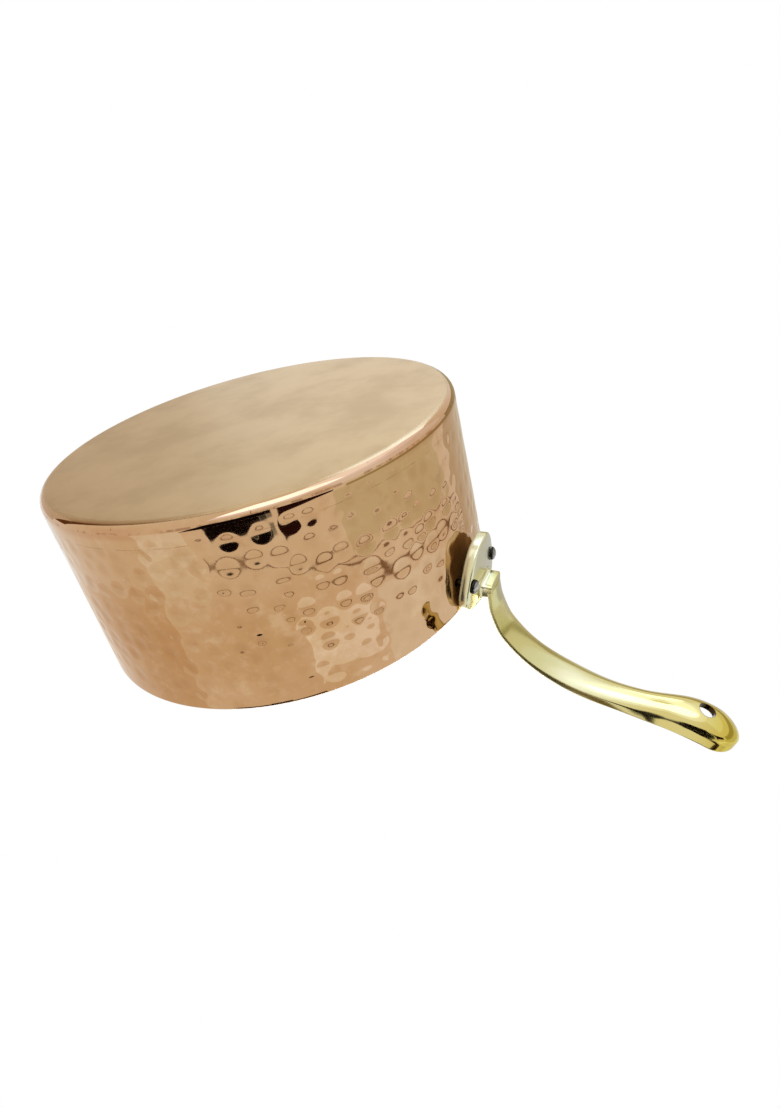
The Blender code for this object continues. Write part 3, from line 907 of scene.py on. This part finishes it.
print("a ring has", len(grip_section(0.5, 70 * mm)), "points")

# %% Join rings of points into closed solids
def loft(name, sections):
    """A closed solid through equal rings of points."""
    mesh = bpy.data.meshes.new(name)
    shape = bmesh.new()
    rings = [[shape.verts.new(point) for point in section] for section in sections]
    count = len(rings[0])
    for ring, following in zip(rings, rings[1:]):
        for index in range(count):
            beside = (index + 1) % count
            shape.faces.new((ring[index], ring[beside], following[beside], following[index]))
    shape.faces.new(list(reversed(rings[0])))
    shape.faces.new(rings[-1])
    bmesh.ops.recalc_face_normals(shape, faces=shape.faces)
    shape.to_mesh(mesh)
    shape.free()
    return add_object(name, mesh)


def make_grip():
    """The grip, with its rings closer together where the tip rounds off."""
    runs = edge_runs()
    length = runs[-1][1]
    body = length - TIP_LENGTH
    lefts = [length - body * index / GRIP_STATIONS for index in range(GRIP_STATIONS)]
    for step in range(TIP_STATIONS):
        lefts.append(TIP_LENGTH * (1 - math.sin(TIP_SWEEP * step / (TIP_STATIONS - 1))))
    return loft("grip", [grip_section(share_before_tip(runs, left), left) for left in lefts])


print("grip has", GRIP_STATIONS + TIP_STATIONS, "rings")

# %% Plate and neck
PLATE_POINTS = 120
PLATE_FACE_SHARES = (0.03, 0.15, 0.3, 0.45, 0.6, 0.75, 0.88)
NECK_POINTS = 56
NECK_SQUARENESS = 5.0
NECK_ROOT_FLARE = 1.4 * mm
NECK_ROOT_LENGTH = 2.0 * mm
ROOT_STEPS = 8
EDGE_STEPS = 4


def soft_square(points, squareness):
    """Shares across and up, round a square of half width one with rounded corners."""
    power = 2 / squareness
    for index in range(points):
        angle = math.tau * index / points
        yield (math.copysign(abs(math.cos(angle)) ** power, math.cos(angle)),
               math.copysign(abs(math.sin(angle)) ** power, math.sin(angle)))


def neck_ring(wider, out):
    """The neck's outline at a height over the plate's back."""
    centre = Vector((0, -NECK_DROP, out))
    half_width, half_height = NECK_HALF_WIDTH + wider, NECK_HALF_HEIGHT + wider
    return [centre + Vector((half_width * side, half_height * up, 0))
            for side, up in soft_square(NECK_POINTS, NECK_SQUARENESS)]


def plate_ring(share, inset, out):
    """The bent plate's outline at a height over its back, shrunk to a share and drawn in."""
    ring = []
    for side, up in soft_square(PLATE_POINTS, PLATE_SQUARENESS):
        spread = 1 + PLATE_SPREAD_SHARE * up * share
        across = (PLATE_HALF_WIDTH - inset) * side * spread * share
        rise = PLATE_RISE - PLATE_LENGTH / 2 + (PLATE_LENGTH / 2 - inset) * up * share
        ring.append(bent(across, rise, out))
    return ring


def make_plate():
    """Rings from the middle of the back, round the soft edge, to the middle of the front."""
    rings = [plate_ring(share, EDGE_ROUND, 0) for share in PLATE_FACE_SHARES]
    for side in (-1, 1):
        for step in range(EDGE_STEPS + 1):
            angle = math.pi / 2 * (step if side < 0 else EDGE_STEPS - step) / EDGE_STEPS
            drawn_in = EDGE_ROUND * (1 - math.sin(angle))
            out = EDGE_ROUND * (1 - math.cos(angle))
            rings.append(plate_ring(1, drawn_in, out if side < 0 else PLATE_THICKNESS - out))
    for share in reversed(PLATE_FACE_SHARES):
        rings.append(plate_ring(share, EDGE_ROUND, PLATE_THICKNESS))
    return loft("cast_handle", rings)


def make_neck():
    """A short square neck that flares into the plate and ends with round edges."""
    front = PLATE_THICKNESS + NECK_REACH
    rings = [neck_ring(NECK_ROOT_FLARE, PLATE_THICKNESS / 2)]
    for step in range(ROOT_STEPS + 1):
        angle = math.pi / 2 * step / ROOT_STEPS
        rings.append(neck_ring(NECK_ROOT_FLARE * (1 - math.sin(angle)),
                               PLATE_THICKNESS + NECK_ROOT_LENGTH * (1 - math.cos(angle))))
    for step in range(EDGE_STEPS + 1):
        angle = math.pi / 2 * step / EDGE_STEPS
        rings.append(neck_ring(-EDGE_ROUND * (1 - math.cos(angle)),
                               front - EDGE_ROUND * (1 - math.sin(angle))))
    return loft("neck", rings)


handle = make_plate()
neck = make_neck()
for made in (handle, neck):
    made.data.transform(plate_place())
grip = make_grip()
print("grip, neck and plate are closed solids")

# %% Cast them into one, with the hanging hole
HOLE_TOOL_LENGTH = 30 * mm
HOLE_TOOL_SIDES = 64


def boolean(target, other, operation):
    """Adds another solid to the target, or cuts it away."""
    step = target.modifiers.new(operation.lower(), "BOOLEAN")
    step.operation = operation
    step.object = other
    step.solver = "EXACT"


origin, up = grip_frame(share_before_tip(edge_runs(), HANG_HOLE_FROM_TIP))
hole_middle = Vector((origin.x, 0, origin.y))
hole_axis = Vector((up.x, 0, up.y))


def make_hang_hole():
    """A rod square to the grip's line, to cut the hole with."""
    shape = bmesh.new()
    bmesh.ops.create_cone(shape, cap_ends=True, segments=HOLE_TOOL_SIDES, radius1=HANG_HOLE_RADIUS,
                          radius2=HANG_HOLE_RADIUS, depth=HOLE_TOOL_LENGTH)
    mesh = bpy.data.meshes.new("hang_hole")
    shape.to_mesh(mesh)
    shape.free()
    mesh.transform(Vector((0, 0, 1)).rotation_difference(hole_axis).to_matrix().to_4x4())
    mesh.transform(Matrix.Translation(hole_middle))
    return add_object("hang_hole", mesh)


hang_hole = make_hang_hole()
boolean(handle, neck, "UNION")
boolean(handle, grip, "UNION")
boolean(handle, hang_hole, "DIFFERENCE")
plain_mesh(handle, 50)
for tool in (neck, grip, hang_hole):
    bpy.data.objects.remove(tool)

# %% [markdown]
# ## Brass
#
# Cast brass is polished by hand, so its surface is bright but never quite even. Its colour goes
# from pale straw on the plate to deeper yellow towards the tip, where hands have been. The plate's
# back was never polished and is still rough from the mould.

# %% Brass: colours along the handle
# From the first X to the second, the brass turns to this colour
BRASS_CHANGES = [
    (150.0 * mm, 128.0 * mm, rgb(200, 187, 124)),
    (113.5 * mm, 110.5 * mm, rgb(218, 210, 168)),
    (150.0 * mm, 190.0 * mm, rgb(214, 198, 126)),
    (200.0 * mm, 218.0 * mm, rgb(202, 178, 76)),
]

brass, place, fill = metal("polished_brass")
split = place.split()
clouds = place.noise(45.0, 3.0, 0.6)
brass_tint = clouds.between(0.35, 0.65).colour(rgb(222, 213, 158), rgb(214, 203, 144))
for start, end, change in BRASS_CHANGES:
    brass_tint = split.out("X").between(start, end).colour(brass_tint, change)
# Painted shade: the wall inside the hanging hole is painted dark brown, as the shade in the hole.
hole_reach = place.vector("SUBTRACT", tuple(hole_middle)).vector("CROSS_PRODUCT", tuple(hole_axis))
hole_wall_shade = hole_reach.vector("LENGTH").between(HANG_HOLE_RADIUS + 0.3 * mm, HANG_HOLE_RADIUS)
brass_tint = hole_wall_shade.colour(brass_tint, rgb(52, 40, 20))
print("brass colours:", len(place.tree.nodes), "nodes")

# %% Brass: a bright front, a plate back as cast, and a duller inner half of the grip
AS_CAST = (1.6 * mm, 0.8 * mm)
DULLER_GRIP = (200.0 * mm, 150.0 * mm)

reach = place.vector("MULTIPLY", (1, 1, 0)).vector("LENGTH")
over_back = reach - SEAT_RADIUS + (split.out("Z") - PAN_HEIGHT) * math.tan(PLATE_LEAN)
as_cast = over_back.between(*AS_CAST)
lengthwise = place.vector("MULTIPLY", (0.12, 1, 0.2)).noise(700.0, 2.0, 0.6)
rough = 0.11 + (clouds - 0.5) * 0.06 + (lengthwise - 0.5) * 0.04 + as_cast * 0.45
rough = rough + split.out("X").between(*DULLER_GRIP) * 0.09
waves = place.noise(70.0, 2.0, 0.5)
bump = (waves + lengthwise * 0.02).bump(0.15, 0.3 * mm)
fill(Base_Color=brass_tint, Roughness=rough, Normal=bump)
handle.data.materials.clear()
handle.data.materials.append(brass)
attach(handle, "root")
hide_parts("brass_handle")
print("brass:", len(place.tree.nodes), "nodes")

# %% [markdown]
# ## The rivets
#
# Two steel rivets go through plate, wall and lining. Their heads are domes outside, and their ends
# were hammered into flat buttons inside. Both rivets are the same, so one geometry tree with the
# rivet's sizes as inputs makes them, and it runs once for each rivet with that rivet's place.

# %% Rivet tree
SHANK_IN_HEAD = 0.2 * mm

rivets = geometry_tree("rivet", [
    ("Head Radius", NUMBER), ("Head Height", NUMBER), ("Shank Radius", NUMBER),
    ("Shank Length", NUMBER), ("Button Radius", NUMBER), ("Button Height", NUMBER),
    ("Seat", PLACE), ("Seat Turn", PLACE), ("Button Seat", PLACE), ("Button Turn", PLACE),
    ("Material", MATERIAL),
])


def dome(radius, tall):
    """A half ball with a flat back, from a ball whose lower half is pressed flat."""
    ball = rivets.node("GeometryNodeMeshUVSphere", {}, {"Segments": 48, "Rings": 24, "Radius": 1.0})
    spot = ball.node("GeometryNodeInputPosition").split()
    spot_height = spot.out("Z").math("MAXIMUM", 0.0)
    pressed = ball.node("ShaderNodeCombineXYZ", {}, {
        "X": spot.out("X") * radius, "Y": spot.out("Y") * radius, "Z": spot_height * tall,
    })
    kept = ball.store("dome_share", spot_height)
    return kept.node("GeometryNodeSetPosition", {}, {"Geometry": kept, "Position": pressed})


def placed(shape, seat, turn):
    """A shape turned, then moved to its seat."""
    return shape.node("GeometryNodeTransform", {},
                      {"Geometry": shape, "Translation": seat, "Rotation": turn})


def joined(*shapes):
    """Several shapes as one geometry."""
    join = rivets.node("GeometryNodeJoinGeometry")
    for shape in shapes:
        rivets.tree.links.new(shape.socket, join.socket.node.inputs["Geometry"])
    return join


shank = rivets.node("GeometryNodeMeshCylinder", {"fill_type": "NGON"}, {
    "Vertices": 32, "Radius": rivets.out("Shank Radius"), "Depth": rivets.out("Shank Length"),
})
shank_middle = rivets.out("Shank Length") * -0.5 + SHANK_IN_HEAD
shank_drop = rivets.node("ShaderNodeCombineXYZ", {}, {"Z": shank_middle})
shank = placed(shank, shank_drop, (0, 0, 0))
head = dome(rivets.out("Head Radius"), rivets.out("Head Height"))
button = dome(rivets.out("Button Radius"), rivets.out("Button Height"))
outer = placed(joined(shank, head), rivets.out("Seat"), rivets.out("Seat Turn"))
button = placed(button, rivets.out("Button Seat"), rivets.out("Button Turn"))
end_tree(joined(outer, button), rivets.out("Material"))
print("rivet tree:", len(rivets.tree.nodes), "nodes")

# %% Rivet steel, with painted shade where a dome meets the plate
rivet_steel, place, fill = metal("rivet_steel")
specks = place.noise(700.0, 3.0, 0.6)
dome_share = place.stored("dome_share")
steel_tint = specks.between(0.4, 0.7).colour(rgb(186, 184, 178), rgb(126, 122, 114))
# Painted shade: the foot of each dome is painted nearly black, as the shade and dark reflection
# round its rim.
painted_rim_shade = (dome_share + (specks - 0.5) * 0.5).between(0.75, 0.35)
steel_tint = painted_rim_shade.colour(steel_tint, rgb(38, 33, 26))
fill(Base_Color=steel_tint, Roughness=0.2 + specks * 0.15, Normal=specks.bump(0.3, 0.05 * mm))
print("rivet steel:", len(place.tree.nodes), "nodes")

# %% Both rivets, in their places
RIVET_SPACING = 26.8 * mm
RIVET_DROP = 12.0 * mm
LINING_WALL = 0.6 * mm
LINING_FACE = COPPER_WALL + SEAT_GAP + LINING_WALL + SEAT_GAP
SEARCH_STEP = 0.02 * mm


def euler_of(direction):
    """The turn that points Z this way, as plain numbers."""
    return tuple(direction.to_track_quat("Z", "Y").to_euler())


def lining_spot(seat, inward):
    """Where a line from the seat meets the lining's inner face, and that face's way inwards."""
    travel = 0.0
    while True:
        spot = seat + inward * travel
        flat = Vector((spot.x, spot.y, 0))
        if flat.length < wall_radius(spot.z, LINING_FACE):
            level = -flat.normalized() * math.cos(WALL_TILT)
            return spot, level + Vector((0, 0, math.sin(WALL_TILT))), travel
        travel += SEARCH_STEP


for name, side in (("rivet_head_left", 1), ("rivet_head_right", -1)):
    across = side * RIVET_SPACING / 2
    lean = Matrix.Rotation(across / SEAT_RADIUS, 4, "Y")
    matrix = plate_place() @ Matrix.Translation(
        bent(across, -RIVET_DROP, PLATE_THICKNESS + SEAT_GAP)) @ lean
    seat = matrix.translation
    outward = matrix.to_3x3() @ Vector((0, 0, 1))
    spot, normal, travel = lining_spot(seat, -outward)
    rivet = add_object(name, bpy.data.meshes.new(name))
    grow(rivet, rivets.tree, {
        "Head Radius": 3.4 * mm, "Head Height": 2.2 * mm,
        "Shank Radius": 2.0 * mm, "Shank Length": travel,
        "Button Radius": 3.8 * mm, "Button Height": 1.7 * mm,
        "Seat": tuple(seat), "Seat Turn": euler_of(outward),
        "Button Seat": tuple(spot), "Button Turn": euler_of(normal),
        "Material": rivet_steel,
    })
    plain_mesh(rivet)
    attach(rivet, "root")
    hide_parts(name.replace("_head", ""))
